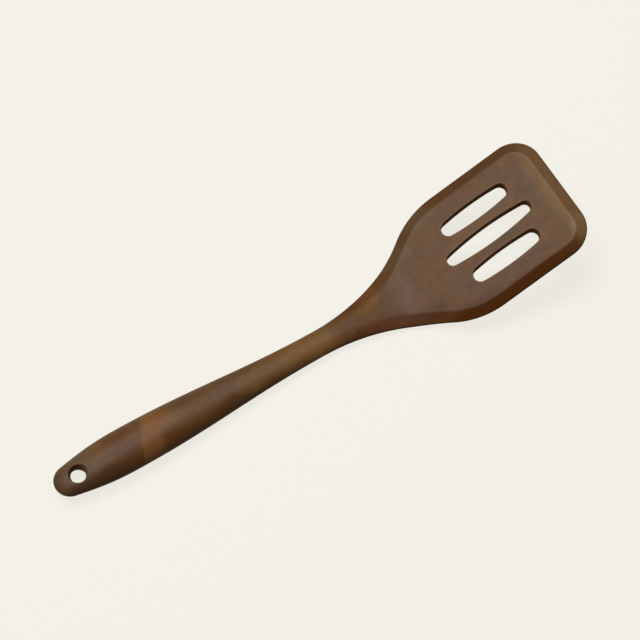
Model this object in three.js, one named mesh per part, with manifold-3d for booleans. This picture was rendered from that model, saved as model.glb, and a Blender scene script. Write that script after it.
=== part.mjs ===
// Slotted spatula: a stiff nylon core inside a one-piece silicone skin.
// Millimetres, +Z up. X runs from the hanging eye to the blade's front edge and Y runs across. The part lies at rest on
// the underside of its grip and on its heel, with the surface below it at Z = 0.

import * as THREE from "three";
import { mergeVertices } from "three/addons/utils/BufferGeometryUtils.js";
import Module from "manifold-3d";

const wasm = await Module();
wasm.setup();

const { clamp, degToRad, lerp, smoothstep } = THREE.MathUtils;

// Plan of the skin. A station is a distance along the mid-line from the tail tip.
const GRIP_LENGTH = 172; // tail tip to the narrowest place of the neck
const TAIL_RADIUS = 9.6;
const TAIL_TAPER = degToRad(11); // slope at which the grip's side leaves the round tail
const BELLY_STATION = 48; // the widest place of the grip
const BELLY_WIDTH = 27;
const NECK_WIDTH = 16.1;
const NECK_FLARE_RADIUS = 128; // hollow curve from the neck into the shoulder
const SHOULDER_RADIUS = 53.5; // full curve from the shoulder into the blade's side
const BLADE_SIDE_LENGTH = 66; // straight side and front corner together
const BLADE_WIDTH = 79;
const CORNER_RADIUS = 17.5;

// Side view of the skin
const TAIL_THICKNESS = 7.6;
const BELLY_THICKNESS = 15;
const NECK_THICKNESS = 8.6;
const BLADE_THICKNESS = 5;
const PANEL_LENGTH = 100; // flat blade, from the front edge back to the bend
const BEND_LENGTH = 20;
const BLADE_RISE = degToRad(20.8); // slope of the blade above the grip's mid-line

// Edge of the skin
const RIM_WIDTH = 6.5; // bevelled border round the blade
const RIM_EDGE = 2; // thickness left at the blade's outer edge
const GRIP_SEAM = 0.8; // upright land at the grip's mould seam
const CROWN_SHARE = 0.2; // part of the grip's half-width that is flat on top

// Slots: the middle one is longer, and all have bowed sides and rounded lips
const SLOT_WIDTH = 11;
const SLOT_PITCH = 17;
const MIDDLE_SLOT_LENGTH = 58;
const MIDDLE_SLOT_BOW = 1.8; // how far a side swells between its ends
const MIDDLE_SLOT_CENTRE = 50.6; // front edge to the middle of the slot
const OUTER_SLOT_LENGTH = 45;
const OUTER_SLOT_BOW = 1;
const OUTER_SLOT_CENTRE = 49.7;
const SLOT_LIP_ROUND = 0.6;

// Hanging eye
const EYE_STATION = 14.5;
const EYE_DIAMETER = 9;
const EYE_LIP_ROUND = 1.4;

// Core, and the skin over it
const BOND_GAP = 0.3; // all round the core
const GRIP_SKIN = 1.8;
const BLADE_SKIN = 1.4;
const RIM_SETBACK = 0.6; // the core's plate stops this far inside the rim's crease
const CORE_EDGE_BEVEL = 0.6;
const CORE_EDGE = 1; // thickness left at the core's edge
const SLOT_LINING = 1.5; // silicone between a slot and the core's plate

// Silicone posts through the core, which tie the upper and lower skin together
const POST_DIAMETER = 4;
const POST_WALL = 1; // least plate left beside a post
const SIDE_POST_COUNT = 4;
const SIDE_POST_PITCH = 14;
const GRIP_WINDOW_COUNT = 4;
const GRIP_WINDOW_LENGTH = 17;
const GRIP_WINDOW_WIDTH = 5;

// Facets
const FACET_ERROR = 0.05; // the most that a facet of the plan cuts off an arc
const SWEEP_STEPS = 8;
const SWEEP_REACH = 0.4; // how far along a sweep its handles stand, as a share of its run
const SKIN_RIM_STEPS = 5;
const CORE_RIM_STEPS = 3;
const SLOT_STEPS = 8; // for each of the four arcs of a slot
const LIP_STEPS = 3;
const POST_STEPS = 7; // for each half of a round post
const EYE_STEPS = 28;
const WELD = 1e-4; // points closer than this are one point
const CUTTER_REACH = 20; // how far a cutter runs past the mid-line
const LIP_OVERRUN = 0.05; // how far a slot's cutter stands out of the blade's faces
const SETTLE_TURNS = 6;

// Stations that follow from the sizes
const FLARE_ANGLE = Math.acos(1 - (BLADE_WIDTH - NECK_WIDTH) / 2 / (NECK_FLARE_RADIUS + SHOULDER_RADIUS));
const SHOULDER_END = GRIP_LENGTH + (NECK_FLARE_RADIUS + SHOULDER_RADIUS) * Math.sin(FLARE_ANGLE);
const LENGTH = SHOULDER_END + BLADE_SIDE_LENGTH;
const PANEL_START = LENGTH - PANEL_LENGTH;
const BEND_START = PANEL_START - BEND_LENGTH;
const BEND_RADIUS = BEND_LENGTH / BLADE_RISE;
const PLATE_SETBACK = RIM_WIDTH + RIM_SETBACK;

const MIDDLE_SLOT = { station: LENGTH - MIDDLE_SLOT_CENTRE, length: MIDDLE_SLOT_LENGTH, bow: MIDDLE_SLOT_BOW };
const OUTER_SLOT = { station: LENGTH - OUTER_SLOT_CENTRE, length: OUTER_SLOT_LENGTH, bow: OUTER_SLOT_BOW };
const SLOTS = [
  { ...OUTER_SLOT, across: -SLOT_PITCH },
  { ...MIDDLE_SLOT, across: 0 },
  { ...OUTER_SLOT, across: SLOT_PITCH },
];

// 0 along the grip, 1 on the blade's panel
const bladeShare = (station) => smoothstep(station, GRIP_LENGTH, PANEL_START);

// Draws a path on to (x, y), leaving its current point at the given slope and arriving level
function sweepTo(path, x, y, slope = 0) {
  const { x: x0, y: y0 } = path.currentPoint;
  const reach = (x - x0) * SWEEP_REACH;
  path.bezierCurveTo(x0 + reach, y0 + reach * Math.tan(slope), x - reach, y, x, y);
}

// Half of the plan, on the +Y side, from the tail tip to the end of the front corner
function halfPlan() {
  const up = Math.PI / 2;
  const path = new THREE.Path();
  path.absarc(TAIL_RADIUS, 0, TAIL_RADIUS, 2 * up, up + TAIL_TAPER, true);
  sweepTo(path, BELLY_STATION, BELLY_WIDTH / 2, TAIL_TAPER);
  sweepTo(path, GRIP_LENGTH, NECK_WIDTH / 2);
  path.absarc(GRIP_LENGTH, NECK_WIDTH / 2 + NECK_FLARE_RADIUS, NECK_FLARE_RADIUS, -up, FLARE_ANGLE - up);
  path.absarc(SHOULDER_END, BLADE_WIDTH / 2 - SHOULDER_RADIUS, SHOULDER_RADIUS, up + FLARE_ANGLE, up, true);
  path.lineTo(LENGTH - CORNER_RADIUS, BLADE_WIDTH / 2);
  path.absarc(LENGTH - CORNER_RADIUS, BLADE_WIDTH / 2 - CORNER_RADIUS, CORNER_RADIUS, up, 0, true);
  return path.curves.filter((curve) => curve.getLength() > WELD);
}

// How many facets a curve of the plan takes
function facetCount(curve) {
  if (curve.isLineCurve) return 1;
  if (!curve.isEllipseCurve) return SWEEP_STEPS;
  const facetAngle = 2 * Math.acos(1 - FACET_ERROR / curve.xRadius);
  return Math.ceil(Math.abs(curve.aEndAngle - curve.aStartAngle) / facetAngle);
}

// Points along the half plan, each with its inward direction and its distance along that to the mid-line
function planStations() {
  const stations = [];
  for (const curve of halfPlan()) {
    const steps = facetCount(curve);
    for (let i = stations.length ? 1 : 0; i <= steps; i++) {
      const point = curve.getPoint(i / steps);
      const tangent = curve.getTangent(i / steps);
      const onTip = point.y < WELD;
      const inward = onTip ? new THREE.Vector2(1, 0) : new THREE.Vector2(tangent.y, -tangent.x);
      const reach = onTip || tangent.x < WELD ? TAIL_RADIUS : point.y / tangent.x;
      stations.push({ point, inward, reach });
    }
  }
  return stations;
}

// Half the skin's thickness on the mid-line, as a function of the station
function sideProfile() {
  const path = new THREE.Path();
  path.moveTo(0, TAIL_THICKNESS / 2);
  sweepTo(path, BELLY_STATION, BELLY_THICKNESS / 2);
  sweepTo(path, GRIP_LENGTH, NECK_THICKNESS / 2);
  sweepTo(path, PANEL_START, BLADE_THICKNESS / 2);
  path.lineTo(LENGTH, BLADE_THICKNESS / 2);
  const points = path.getPoints(4 * SWEEP_STEPS);
  return (station) => {
    const found = points.findIndex((point) => point.x >= station);
    const next = found < 0 ? points.length - 1 : Math.max(1, found);
    const [a, b] = [points[next - 1], points[next]];
    return lerp(a.y, b.y, clamp((station - a.x) / (b.x - a.x), 0, 1));
  };
}

const halfThickness = sideProfile();

// The place of a station, an offset across and a height above the mid-line, which bends up at the heel
function onMidLine(station, across, height) {
  const turn = clamp((station - BEND_START) / BEND_RADIUS, 0, BLADE_RISE);
  const straight = Math.min(station, BEND_START);
  const beyond = Math.max(0, station - PANEL_START);
  const x = straight + BEND_RADIUS * Math.sin(turn) + beyond * Math.cos(turn) - height * Math.sin(turn);
  const z = BEND_RADIUS * (1 - Math.cos(turn)) + beyond * Math.sin(turn) + height * Math.cos(turn);
  return new THREE.Vector3(x, across, z);
}

// The moulded form, with its plan drawn in by `cover`, its thickness by `skin` and an upright `edge`, each given for
// the grip and the blade. Its border falls from the crown to the edge, as a quarter round on the grip and as a straight
// bevel of width `rim` on the blade.
function moulding({ cover, skin, edge, rim, rimSteps }) {
  const rows = planStations().map(({ point, inward, reach }) => {
    const share = bladeShare(point.x);
    const inset = lerp(cover.grip, cover.blade, share);
    const border = lerp((1 - CROWN_SHARE) * (reach - inset), rim, share);
    const land = lerp(edge.grip, edge.blade, share) / 2;
    const side = [];
    for (let step = 0; step <= rimSteps; step++) {
      const depth = 1 - Math.cos((step / rimSteps) * (Math.PI / 2));
      const { x, y } = point.clone().addScaledVector(inward, inset + depth * border);
      const crown = halfThickness(x) - lerp(skin.grip, skin.blade, bladeShare(x));
      const rise = lerp(Math.sqrt(depth * (2 - depth)), depth, share);
      side.push({ station: x, across: Math.max(0, y), height: land + (crown - land) * rise });
    }
    const middle = { ...side[rimSteps], across: 0 };
    const farSide = side.map((place) => ({ ...place, across: -place.across })).reverse();
    return [...side, middle, ...farSide];
  });
  return closedOver(rows);
}

// A closed geometry from rows of places across the upper face, mirrored for the lower face and closed at the front
function closedOver(rows) {
  const width = rows[0].length;
  const faceSize = rows.length * width;
  const vertices = [];
  for (const side of [1, -1]) {
    for (const row of rows) {
      for (const { station, across, height } of row) vertices.push(...onMidLine(station, across, side * height));
    }
  }
  const triangles = [];
  const quad = (a, b, c, d) => triangles.push(a, b, c, a, c, d);
  const top = (row, column) => row * width + column;
  const under = (row, column) => faceSize + top(row, column);
  const last = width - 1;
  const front = rows.length - 1;
  for (let row = 0; row < front; row++) {
    for (let column = 0; column < last; column++) {
      quad(top(row, column), top(row, column + 1), top(row + 1, column + 1), top(row + 1, column));
      quad(under(row, column), under(row + 1, column), under(row + 1, column + 1), under(row, column + 1));
    }
    quad(top(row, 0), top(row + 1, 0), under(row + 1, 0), under(row, 0));
    quad(top(row, last), under(row, last), under(row + 1, last), top(row + 1, last));
  }
  for (let a = 0, b = 1; b <= last / 2; a++, b++) {
    quad(top(front, a), top(front, b), top(front, last - b), top(front, last - a));
    quad(under(front, a), under(front, last - a), under(front, last - b), under(front, b));
  }
  quad(top(front, 0), top(front, last), under(front, last), under(front, 0));
  const geometry = new THREE.BufferGeometry();
  geometry.setAttribute("position", new THREE.Float32BufferAttribute(vertices, 3));
  geometry.setIndex(triangles);
  return geometry;
}

// A closed geometry as a solid that can be cut
function solid(geometry) {
  geometry.deleteAttribute("normal");
  geometry.deleteAttribute("uv");
  const welded = mergeVertices(geometry, WELD);
  const corners = welded.index.array;
  const kept = [];
  for (let i = 0; i < corners.length; i += 3) {
    const [a, b, c] = corners.slice(i, i + 3);
    if (a !== b && b !== c && c !== a) kept.push(a, b, c);
  }
  const vertProperties = new Float32Array(welded.attributes.position.array);
  return new wasm.Manifold(new wasm.Mesh({ numProp: 3, vertProperties, triVerts: new Uint32Array(kept) }));
}

const cutAway = (body, cutters) => cutters.reduce((left, cutter) => left.subtract(cutter), body);

function geometryOf(body) {
  const { vertProperties, triVerts } = body.getMesh();
  const geometry = new THREE.BufferGeometry();
  geometry.setAttribute("position", new THREE.BufferAttribute(vertProperties, 3));
  geometry.setIndex(new THREE.BufferAttribute(triVerts, 1));
  const faceted = geometry.toNonIndexed();
  faceted.computeVertexNormals();
  return faceted;
}

// A slot's outline, `grown` all round: round ends, and sides that are arcs touching the end rounds
function slotOutline(slot, grown) {
  const { bow } = slot;
  const length = slot.length + 2 * grown;
  const width = SLOT_WIDTH + 2 * grown;
  const end = width / 2 - bow;
  const endCentre = length / 2 - end;
  const sideRadius = (endCentre ** 2 + (width / 2) ** 2 - end ** 2) / (2 * bow);
  const sideCentre = sideRadius - width / 2;
  const lean = Math.atan2(endCentre, sideCentre);
  const up = Math.PI / 2;
  const arc = (x, y, radius, from, to) => new THREE.EllipseCurve(x, y, radius, radius, from, to);
  const arcs = [
    arc(0, -sideCentre, sideRadius, up - lean, up + lean),
    arc(-endCentre, 0, end, up + lean, 3 * up - lean),
    arc(0, sideCentre, sideRadius, 3 * up - lean, 3 * up + lean),
    arc(endCentre, 0, end, 3 * up + lean, 5 * up - lean),
  ];
  return new THREE.Shape(arcs.flatMap((side) => side.getPoints(SLOT_STEPS).slice(1)));
}

// A plain slot's outline, with straight sides
function windowOutline(length, width) {
  const up = Math.PI / 2;
  const shape = new THREE.Shape();
  shape.absarc((length - width) / 2, 0, width / 2, -up, up);
  shape.absarc((width - length) / 2, 0, width / 2, up, 3 * up);
  return shape;
}

// Moves a cutter's geometry from the origin to its place on the mid-line. On the blade its ends turn with the panel, and
// its sides lean back to the mould's draw, which is square to the grip.
function placed(geometry, station, across) {
  const turn = station > PANEL_START ? BLADE_RISE : 0;
  const lean = new THREE.Matrix4().makeShear(0, 0, 0, 0, Math.tan(turn), 0);
  const place = new THREE.Matrix4().makeRotationY(-turn).setPosition(onMidLine(station, across, 0));
  return solid(geometry.applyMatrix4(lean).applyMatrix4(place));
}

// A shape cut straight through at a station
function through(shape, station, across) {
  const prism = new THREE.ExtrudeGeometry(shape, {
    depth: 2 * CUTTER_REACH,
    bevelEnabled: false,
    curveSegments: POST_STEPS,
  });
  return placed(prism.translate(0, 0, -CUTTER_REACH), station, across);
}

// Slots in the core's plate, wider than the skin's by the lining
function plateSlots(lining) {
  return SLOTS.map((slot) => through(slotOutline(slot, lining), slot.station, slot.across));
}

// Slots in the skin, opening out at both faces by the round of their lips
function lippedSlots() {
  const wall = BLADE_THICKNESS - 2 * (SLOT_LIP_ROUND - LIP_OVERRUN);
  return SLOTS.map((slot) => {
    const waisted = new THREE.ExtrudeGeometry(slotOutline(slot, SLOT_LIP_ROUND), {
      depth: wall,
      bevelSize: -SLOT_LIP_ROUND,
      bevelThickness: SLOT_LIP_ROUND,
      bevelSegments: LIP_STEPS,
    });
    return placed(waisted.translate(0, 0, -wall / 2), slot.station, slot.across);
  });
}

// The hanging eye's bore, opening out at both faces by the round of its lips
function eyeBore() {
  const up = Math.PI / 2;
  const mouth = EYE_DIAMETER / 2 + EYE_LIP_ROUND;
  const lipHeight = halfThickness(EYE_STATION) - EYE_LIP_ROUND;
  const profile = new THREE.Path();
  profile.moveTo(0, -CUTTER_REACH);
  profile.lineTo(mouth, -CUTTER_REACH);
  profile.absarc(mouth, -lipHeight, EYE_LIP_ROUND, -up, -2 * up, true);
  profile.absarc(mouth, lipHeight, EYE_LIP_ROUND, 2 * up, up, true);
  profile.lineTo(mouth, CUTTER_REACH);
  profile.lineTo(0, CUTTER_REACH);
  const turned = new THREE.LatheGeometry(profile.getPoints(LIP_STEPS), EYE_STEPS);
  return placed(turned.rotateX(up), EYE_STATION, 0);
}

// Middle of the strip of plate from a slot's edge, at distance `slot`, to the plate's edge, if a post has room there
function stripMiddle(slot, plate) {
  const room = plate - slot - POST_DIAMETER - 2 * POST_WALL;
  return room > 0 ? [(slot + plate) / 2] : [];
}

// Places of the round posts: along both sides of the blade, and in front of every slot
function postPlaces() {
  const sideSlot = SLOT_PITCH + SLOT_WIDTH / 2 + SLOT_LINING;
  const places = [];
  for (const across of stripMiddle(sideSlot, BLADE_WIDTH / 2 - PLATE_SETBACK)) {
    for (let i = 0; i < SIDE_POST_COUNT; i++) {
      const station = OUTER_SLOT.station + (i - (SIDE_POST_COUNT - 1) / 2) * SIDE_POST_PITCH;
      places.push({ station, across }, { station, across: -across });
    }
  }
  for (const slot of SLOTS) {
    const slotFront = slot.station + slot.length / 2 + SLOT_LINING;
    for (const station of stripMiddle(slotFront, LENGTH - PLATE_SETBACK)) places.push({ station, across: slot.across });
  }
  return places;
}

// Posts of silicone through the core, thinner than their holes by `gap` all round
function posts(gap) {
  const round = new THREE.Shape().absarc(0, 0, POST_DIAMETER / 2 - gap, 0, 2 * Math.PI);
  const window = windowOutline(GRIP_WINDOW_LENGTH - 2 * gap, GRIP_WINDOW_WIDTH - 2 * gap);
  const made = postPlaces().map(({ station, across }) => through(round, station, across));
  const windowPitch = (GRIP_LENGTH - EYE_STATION) / (GRIP_WINDOW_COUNT + 1);
  for (let i = 1; i <= GRIP_WINDOW_COUNT; i++) made.push(through(window, EYE_STATION + i * windowPitch, 0));
  return made;
}

// The core before its eye is bored, or the hollow that it sits in with `gap` all round it
function coreForm(gap) {
  const form = moulding({
    cover: { grip: GRIP_SKIN - gap, blade: PLATE_SETBACK - gap },
    skin: { grip: GRIP_SKIN - gap, blade: BLADE_SKIN - gap },
    edge: { grip: GRIP_SEAM + 2 * gap, blade: CORE_EDGE + 2 * gap },
    rim: CORE_EDGE_BEVEL,
    rimSteps: CORE_RIM_STEPS,
  });
  return cutAway(solid(form), [...plateSlots(SLOT_LINING - gap), ...posts(gap)]);
}

// The skin's outside, before anything is cut from it
function skinForm() {
  return solid(moulding({
    cover: { grip: 0, blade: 0 },
    skin: { grip: 0, blade: 0 },
    edge: { grip: GRIP_SEAM, blade: RIM_EDGE },
    rim: RIM_WIDTH,
    rimSteps: SKIN_RIM_STEPS,
  }));
}

// The bore cuts the skin and the core alike, so the core's ring shows between the two lips of silicone
function siliconeSkin() {
  const mesh = new THREE.Mesh(
    geometryOf(cutAway(skinForm(), [coreForm(BOND_GAP), ...lippedSlots(), eyeBore()])),
    new THREE.MeshStandardMaterial({ color: "#6c5440", roughness: 0.62, metalness: 0 }),
  );
  mesh.name = "silicone_skin";
  return mesh;
}

function nylonCore() {
  const mesh = new THREE.Mesh(
    geometryOf(cutAway(coreForm(0), [eyeBore()])),
    new THREE.MeshStandardMaterial({ color: "#2b221c", roughness: 0.5, metalness: 0 }),
  );
  mesh.name = "nylon_core";
  return mesh;
}

// The turn about Y that brings the grip's underside and the heel down to one level
function restTurn(geometry) {
  const position = geometry.attributes.position;
  const across = new THREE.Vector3(0, 1, 0);
  const point = new THREE.Vector3();
  let turn = 0;
  for (let i = 0; i < SETTLE_TURNS; i++) {
    const lowest = { grip: new THREE.Vector3(0, 0, Infinity), heel: new THREE.Vector3(0, 0, Infinity) };
    for (let v = 0; v < position.count; v++) {
      point.fromBufferAttribute(position, v);
      const support = point.x < GRIP_LENGTH ? lowest.grip : lowest.heel;
      point.applyAxisAngle(across, turn);
      if (point.z < support.z) support.copy(point);
    }
    turn += Math.atan2(lowest.heel.z - lowest.grip.z, lowest.heel.x - lowest.grip.x);
  }
  return turn;
}

const skin = siliconeSkin();
const spatula = new THREE.Group();
spatula.name = "slotted_spatula";
spatula.add(skin, nylonCore());
spatula.rotation.y = restTurn(skin.geometry);
const box = new THREE.Box3().setFromObject(spatula, true);
spatula.position.set(-(box.min.x + box.max.x) / 2, 0, -box.min.z);

export default spatula;
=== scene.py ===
"""Slotted spatula: wood-tone silicone moulded over a stiff nylon core, lying on a pale studio floor.

Lengths are in metres and angles in radians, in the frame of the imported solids: +X from the hanging eye
to the blade's front edge, +Y across the blade, +Z up, with the floor at Z = 0.

The skin is modelled flat first. A place on the flat form is (station, across, height): the distance
along the mid-line from the tail tip, the offset to the side and the height above the mid-line. The
finished form is then bent up at the heel and laid down on its grip and its heel.
"""

from __future__ import annotations

import logging
import math
from collections.abc import Iterable, Sequence
from dataclasses import dataclass, field
from enum import Enum
from functools import cached_property

import bmesh
import bpy
from bmesh.types import BMEdge, BMesh, BMVert
from mathutils import Color, Matrix, Vector

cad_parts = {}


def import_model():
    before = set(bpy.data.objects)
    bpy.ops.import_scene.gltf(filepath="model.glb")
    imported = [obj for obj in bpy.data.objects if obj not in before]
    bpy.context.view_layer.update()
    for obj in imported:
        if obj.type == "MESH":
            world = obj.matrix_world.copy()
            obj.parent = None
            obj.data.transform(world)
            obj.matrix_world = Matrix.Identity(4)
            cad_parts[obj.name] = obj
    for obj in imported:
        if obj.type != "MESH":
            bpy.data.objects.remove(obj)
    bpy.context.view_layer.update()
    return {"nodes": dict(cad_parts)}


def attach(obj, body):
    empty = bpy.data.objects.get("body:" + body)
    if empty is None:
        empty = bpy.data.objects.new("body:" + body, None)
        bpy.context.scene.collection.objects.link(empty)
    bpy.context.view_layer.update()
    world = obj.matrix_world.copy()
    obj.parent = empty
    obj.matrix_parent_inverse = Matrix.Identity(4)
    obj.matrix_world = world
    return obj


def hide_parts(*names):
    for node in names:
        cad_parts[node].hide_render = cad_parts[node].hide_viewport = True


LOG = logging.getLogger("spatula")

BODY = "root"

QUARTER = math.pi / 2
# Vertices closer than this become one
MERGE = 1e-6
# Rounds of halving that find a place on a curve
HALVINGS = 30
# The value that noise swings round
NOISE_MIDDLE = 0.5


class Solid(Enum):
    """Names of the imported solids."""

    SKIN = "silicone_skin"
    CORE = "nylon_core"


class Layer(Enum):
    """Numbers that the skin's vertices keep."""

    # 1 on the slots, whose walls lean to the mould's draw
    LEAN = "leans"
    # How far down the blade's rim a vertex lies, from 0 at the crease to 1 at the edge
    RIM = "rim"
    # How much of the finish of an opening's wall a vertex has
    WALL = "wall"
    # 1 along the slots' lips, where a highlight is painted
    LIP = "lip"


def mix(a: float, b: float, share: float) -> float:
    """Returns the value that lies the given share of the way from a to b."""
    return a + (b - a) * share


def ease(value: float, low: float, high: float) -> float:
    """Returns 0 at low and 1 at high, with a smooth run between them."""
    share = min(1.0, max(0.0, (value - low) / (high - low)))
    return share * share * (3 - 2 * share)


def spread(count: int) -> list[float]:
    """Returns count + 1 even shares from 0 to 1."""
    return [i / count for i in range(count + 1)]


@dataclass(frozen=True)
class Arc:
    """A circular arc, from one angle to another."""

    centre: Vector
    radius: float
    start: float
    end: float

    def at(self, share: float) -> tuple[Vector, Vector]:
        """Follows the arc.

        Args:
            share: How far along the arc to go, from 0 to 1.

        Returns:
            The point there and the unit tangent.
        """
        angle = mix(self.start, self.end, share)
        spoke = Vector((math.cos(angle), math.sin(angle)))
        turn = math.copysign(1.0, self.end - self.start)
        return self.centre + self.radius * spoke, Vector((-turn * spoke.y, turn * spoke.x))


@dataclass(frozen=True)
class Sweep:
    """An easing curve, which leaves at a slope and arrives level."""

    start: Vector
    end: Vector
    slope: float = 0.0
    reach: float = 0.4

    def at(self, share: float) -> tuple[Vector, Vector]:
        """Follows the curve.

        Args:
            share: How far along the curve to go, from 0 to 1.

        Returns:
            The point there and the unit tangent.
        """
        run = self.reach * (self.end.x - self.start.x)
        leave = self.start + Vector((run, run * math.tan(self.slope)))
        arrive = self.end - Vector((run, 0.0))
        rest = 1 - share
        point = rest**3 * self.start + share**3 * self.end
        point += 3 * rest * share * (rest * leave + share * arrive)
        tangent = rest**2 * (leave - self.start) + share**2 * (self.end - arrive)
        tangent += 2 * rest * share * (arrive - leave)
        return point, tangent.normalized()

    def value_at(self, x: float) -> float:
        """Finds the curve's height over a place by halving.

        Args:
            x: The place along X.

        Returns:
            The curve's Y there.
        """
        low, high = 0.0, 1.0
        for _ in range(HALVINGS):
            middle = (low + high) / 2
            if self.at(middle)[0].x < x:
                low = middle
            else:
                high = middle
        return self.at(high)[0].y


@dataclass(frozen=True)
class Straight:
    """A straight stretch."""

    start: Vector
    end: Vector

    def at(self, share: float) -> tuple[Vector, Vector]:
        """Returns the point and the unit tangent at a share of the stretch."""
        return self.start.lerp(self.end, share), (self.end - self.start).normalized()


@dataclass(frozen=True)
class PartOf:
    """A part of another stretch, between two shares of it."""

    whole: Arc | Sweep | Straight
    start: float
    end: float

    def at(self, share: float) -> tuple[Vector, Vector]:
        """Returns the point and the unit tangent at a share of the part."""
        return self.whole.at(mix(self.start, self.end, share))


Stretch = Arc | Sweep | Straight | PartOf


@dataclass(frozen=True)
class EdgePoint:
    """A point of the skin's outline, with the direction from it into the plan."""

    point: Vector
    inward: Vector

    def mirrored(self) -> EdgePoint:
        """Returns the same point on the other side of the mid-line."""
        flip = Vector((1.0, -1.0))
        return EdgePoint(self.point * flip, self.inward * flip)


def traced(stretches: Sequence[Stretch], counts: Sequence[int]) -> list[EdgePoint]:
    """Samples stretches of the outline that follow each other.

    Args:
        stretches: Stretches of the outline, in order.
        counts: How many steps each stretch takes.

    Returns:
        The points from the first stretch's start to the last one's end.
    """
    points: list[EdgePoint] = []
    for stretch, count in zip(stretches, counts):
        for share in spread(count)[1 if points else 0 :]:
            point, tangent = stretch.at(share)
            points.append(EdgePoint(point, Vector((tangent.y, -tangent.x))))
    return points


@dataclass(frozen=True)
class Plan:
    """The skin's outline, seen from above the flat form."""

    grip_length: float = 0.172
    tail_radius: float = 0.0096
    tail_taper: float = math.radians(11)
    belly_station: float = 0.048
    belly_width: float = 0.027
    neck_width: float = 0.0161
    neck_flare_radius: float = 0.128
    shoulder_radius: float = 0.0535
    blade_side_length: float = 0.066
    blade_width: float = 0.079
    corner_radius: float = 0.0175

    @property
    def flare_angle(self) -> float:
        """Slope of the outline where the neck's flare meets the shoulder."""
        step = (self.blade_width - self.neck_width) / 2
        return math.acos(1 - step / (self.neck_flare_radius + self.shoulder_radius))

    @property
    def shoulder_end(self) -> float:
        """Station where the shoulder meets the blade's straight side."""
        radii = self.neck_flare_radius + self.shoulder_radius
        return self.grip_length + radii * math.sin(self.flare_angle)

    @property
    def length(self) -> float:
        """Length of the flat form."""
        return self.shoulder_end + self.blade_side_length

    def tail(self) -> Arc:
        """Returns the round tail, from its tip to the grip's +Y side."""
        centre = Vector((self.tail_radius, 0.0))
        return Arc(centre, self.tail_radius, math.pi, QUARTER + self.tail_taper)

    def grip(self) -> tuple[Sweep, Sweep]:
        """Draws the grip's +Y side.

        Returns:
            The sweep from the tail to the belly, and the one on to the neck.
        """
        belly = Vector((self.belly_station, self.belly_width / 2))
        neck = Vector((self.grip_length, self.neck_width / 2))
        return Sweep(self.tail().at(1)[0], belly, self.tail_taper), Sweep(belly, neck)

    def flare(self) -> Arc:
        """Returns the hollow curve from the neck to the shoulder."""
        centre = Vector((self.grip_length, self.neck_width / 2 + self.neck_flare_radius))
        return Arc(centre, self.neck_flare_radius, -QUARTER, self.flare_angle - QUARTER)

    def blade_half(self) -> tuple[Stretch, ...]:
        """Draws the blade's +Y half.

        Returns:
            The stretches from the end of the flare to the middle of the front edge.
        """
        side = self.blade_width / 2
        shoulder = Vector((self.shoulder_end, side - self.shoulder_radius))
        corner = Vector((self.length - self.corner_radius, side - self.corner_radius))
        return (
            Arc(shoulder, self.shoulder_radius, QUARTER + self.flare_angle, QUARTER),
            Straight(Vector((self.shoulder_end, side)), Vector((corner.x, side))),
            Arc(corner, self.corner_radius, QUARTER, 0.0),
            Straight(Vector((self.length, corner.y)), Vector((self.length, 0.0))),
        )


@dataclass(frozen=True)
class SideView:
    """Thickness of the skin along the mid-line, and the bend at the heel."""

    tail_thickness: float = 0.0076
    belly_thickness: float = 0.015
    neck_thickness: float = 0.0086
    blade_thickness: float = 0.005
    panel_length: float = 0.1
    bend_length: float = 0.02
    blade_rise: float = math.radians(20.8)

    @property
    def panel_crown(self) -> float:
        """Height of the blade's panel above the mid-line."""
        return self.blade_thickness / 2

    def panel_start(self, plan: Plan) -> float:
        """Returns the station where the flat panel starts."""
        return plan.length - self.panel_length

    def crown(self, plan: Plan, station: float) -> float:
        """Finds half of the skin's thickness on the mid-line.

        Args:
            plan: The skin's outline.
            station: The station.

        Returns:
            The height of the upper face above the mid-line there.
        """
        stops = (
            Vector((0.0, self.tail_thickness / 2)),
            Vector((plan.belly_station, self.belly_thickness / 2)),
            Vector((plan.grip_length, self.neck_thickness / 2)),
            Vector((self.panel_start(plan), self.panel_crown)),
        )
        for start, end in zip(stops, stops[1:]):
            if station < end.x:
                return Sweep(start, end).value_at(max(station, start.x))
        return self.panel_crown

    def bent(self, plan: Plan, place: Vector) -> Vector:
        """Bends the blade up at the heel.

        Args:
            plan: The skin's outline.
            place: A place of the flat form.

        Returns:
            Where the place goes.
        """
        station, across, height = place
        start = self.panel_start(plan) - self.bend_length
        radius = self.bend_length / self.blade_rise
        turn = min(self.blade_rise, max(0.0, (station - start) / radius))
        beyond = max(0.0, station - start - self.bend_length)
        sine, cosine = math.sin(turn), math.cos(turn)
        x = min(station, start) + radius * sine + beyond * cosine - height * sine
        z = radius * (1 - cosine) + beyond * sine + height * cosine
        return Vector((x, across, z))


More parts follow.
